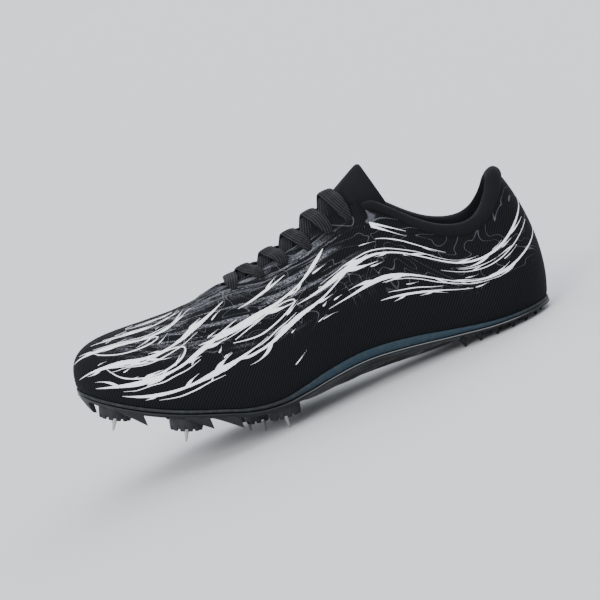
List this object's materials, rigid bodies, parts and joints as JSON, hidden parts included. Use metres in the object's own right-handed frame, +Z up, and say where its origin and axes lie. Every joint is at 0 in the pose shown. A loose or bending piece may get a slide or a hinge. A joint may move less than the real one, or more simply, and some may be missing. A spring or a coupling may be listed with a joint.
{
  "type": "track spike shoe",
  "caption": "Left sprint shoe with a hollow textile upper, padded collar, crossed flat laces, curved stiff plate, steel spike pins in round wells and small teeth under the heel.",
  "frame": {"origin": "centre of the bounding box at the base, on the ground under the shoe", "axes": "+Z up, +X towards the heel, toe towards -X, lateral side towards -Y"},
  "size_m": [0.2676, 0.0926, 0.1153],
  "materials": {
    "upper_textile": "black woven textile with a white print",
    "collar_textile": "matt black padded textile",
    "tongue_textile": "fine black knit",
    "lace_braid": "flat black braid",
    "insole_textile": "dark grey textile",
    "midsole_foam": "satin grey foam",
    "plate_plastic": "glossy smoky black",
    "well_plastic": "matt dark grey",
    "spike_steel": "bright turned steel"
  },
  "bodies": {
    "root": {"upper": "upper_textile", "collar": "collar_textile", "tongue": "tongue_textile", "laces": "lace_braid", "insole": "insole_textile", "midsole": "midsole_foam", "outsole_plate": "plate_plastic", "spike_well_1": "well_plastic", "spike_well_2": "well_plastic", "spike_well_3": "well_plastic", "spike_well_4": "well_plastic", "spike_well_5": "well_plastic", "spike_well_6": "well_plastic", "spike_well_7": "well_plastic", "spike_well_8": "well_plastic", "spike_1": "spike_steel", "spike_2": "spike_steel", "spike_3": "spike_steel", "spike_4": "spike_steel", "spike_5": "spike_steel", "spike_6": "spike_steel", "spike_7": "spike_steel", "spike_8": "spike_steel"}
  },
  "joints": []
}
